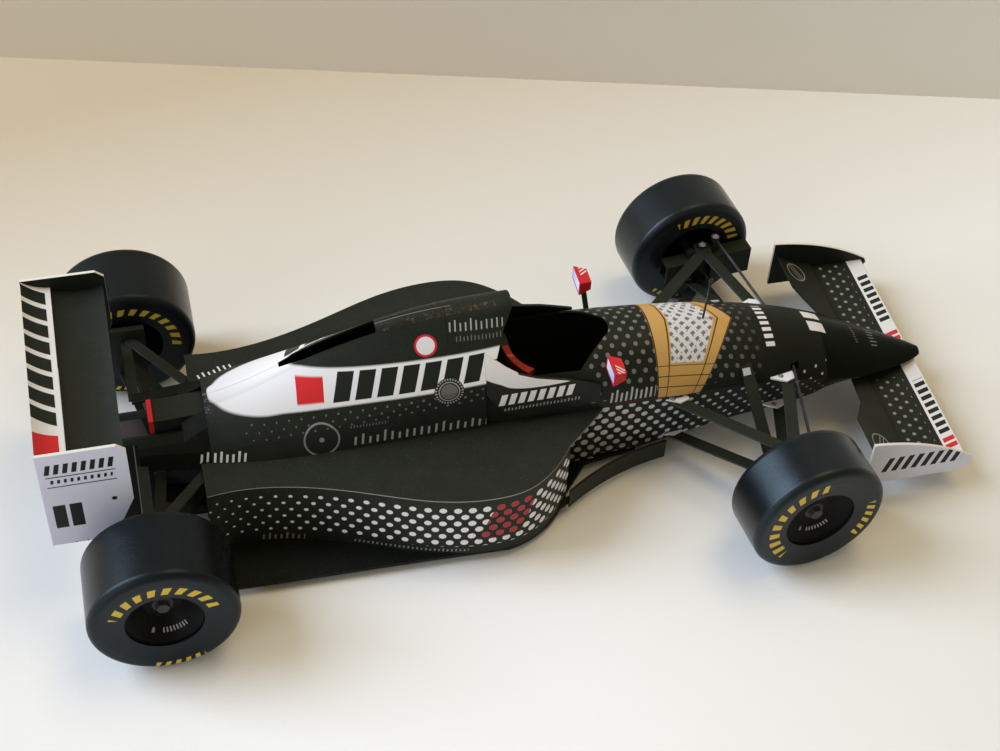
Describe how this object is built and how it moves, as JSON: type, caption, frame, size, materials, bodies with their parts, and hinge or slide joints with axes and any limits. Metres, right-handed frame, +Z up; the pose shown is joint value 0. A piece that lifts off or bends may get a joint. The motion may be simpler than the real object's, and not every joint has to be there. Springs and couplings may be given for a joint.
{
  "type": "open wheel racing car model",
  "caption": "Black card scale model of an open wheel racing car, with wings, open cockpit and steered wheels that roll.",
  "frame": {"origin": "on the ground under the middle of the car's length, on its centre plane", "axes": "+X to the nose, +Y to the car's left, +Z up"},
  "size_m": [0.1792, 0.0901, 0.041],
  "materials": {
    "black_card": "satin",
    "tyre_card": "satin",
    "dark_grey_card": "satin",
    "pale_card": "satin",
    "white_card": "matte",
    "red_card": "satin",
    "black_wire": "satin"
  },
  "bodies": {
    "chassis": {"antenna": "black_wire", "arm_brackets": "white_card", "bargeboard_left": "black_card", "bargeboard_right": "black_card", "belt": "red_card", "board_brackets": "black_card", "cockpit_side_left": "black_card", "cockpit_side_right": "black_card", "crash_box": "dark_grey_card", "diffuser": "black_card", "driveshafts": "black_card", "engine_cover": "black_card", "floor": "black_card", "front_endplate_left": "pale_card", "front_endplate_right": "pale_card", "front_flap_left": "black_card", "front_flap_right": "black_card", "front_lower_arms": "black_card", "front_main_plane": "black_card", "front_pushrods": "black_card", "front_upper_arms": "black_card", "gearbox": "dark_grey_card", "mirror_housings": "red_card", "mirror_stalks": "black_card", "nose_cone": "black_card", "rear_arms": "black_card", "rear_endplate_left": "black_card", "rear_endplate_right": "black_card", "rear_flap": "white_card", "rear_lamp": "red_card", "rear_lower_plane": "black_card", "rear_main_plane": "black_card", "rear_uprights": "black_card", "roll_bulkhead": "black_card", "seat": "dark_grey_card", "sidepod_left": "black_card", "sidepod_right": "black_card", "tail_fairing_left": "black_card", "tail_fairing_right": "black_card", "tub": "black_card", "wing_struts": "black_card"},
    "wheel_rear_left": {"rear_tyre_left": "tyre_card", "rear_rim_left": "dark_grey_card"},
    "wheel_rear_right": {"rear_tyre_right": "tyre_card", "rear_rim_right": "dark_grey_card"},
    "knuckle_left": {"front_upright_left": "black_card", "brake_duct_left": "black_card"},
    "knuckle_right": {"front_upright_right": "black_card", "brake_duct_right": "black_card"},
    "wheel_front_left": {"front_tyre_left": "tyre_card", "front_rim_left": "dark_grey_card"},
    "wheel_front_right": {"front_tyre_right": "tyre_card", "front_rim_right": "dark_grey_card"},
    "steering_rack": {"tie_rods": "black_wire"}
  },
  "joints": [
    {"name": "rear_left_spin", "type": "hinge", "parent": "chassis", "child": "wheel_rear_left", "pos_m": [-0.07175, 0.0345, 0.01363], "axis": [0, 1, 0], "continuous": true},
    {"name": "rear_right_spin", "type": "hinge", "parent": "chassis", "child": "wheel_rear_right", "pos_m": [-0.07175, -0.0345, 0.01363], "axis": [0, 1, 0], "continuous": true},
    {"name": "left_steer", "type": "hinge", "parent": "chassis", "child": "knuckle_left", "pos_m": [0.05045, 0.0302, 0.01348], "axis": [0, 0, 1], "range_deg": [-19, 5]},
    {"name": "right_steer", "type": "hinge", "parent": "chassis", "child": "knuckle_right", "pos_m": [0.05045, -0.0302, 0.01348], "axis": [0, 0, 1], "range_deg": [-19, 5]},
    {"name": "front_left_spin", "type": "hinge", "parent": "knuckle_left", "child": "wheel_front_left", "pos_m": [0.04834, 0.0375, 0.01348], "axis": [-0.1219, 0.9925, 0], "continuous": true},
    {"name": "front_right_spin", "type": "hinge", "parent": "knuckle_right", "child": "wheel_front_right", "pos_m": [0.05017, -0.03779, 0.01348], "axis": [-0.1219, 0.9925, 0], "continuous": true},
    {"name": "rack_slide", "type": "slide", "parent": "chassis", "child": "steering_rack", "axis": [0, 1, 0], "range_m": [-0.00105, 0.00035]}
  ],
  "couplings": [
    {"joint": "right_steer", "follows": "left_steer", "ratio": 1},
    {"joint": "rack_slide", "follows": "left_steer", "m_per_rad": 0.002878}
  ]
}
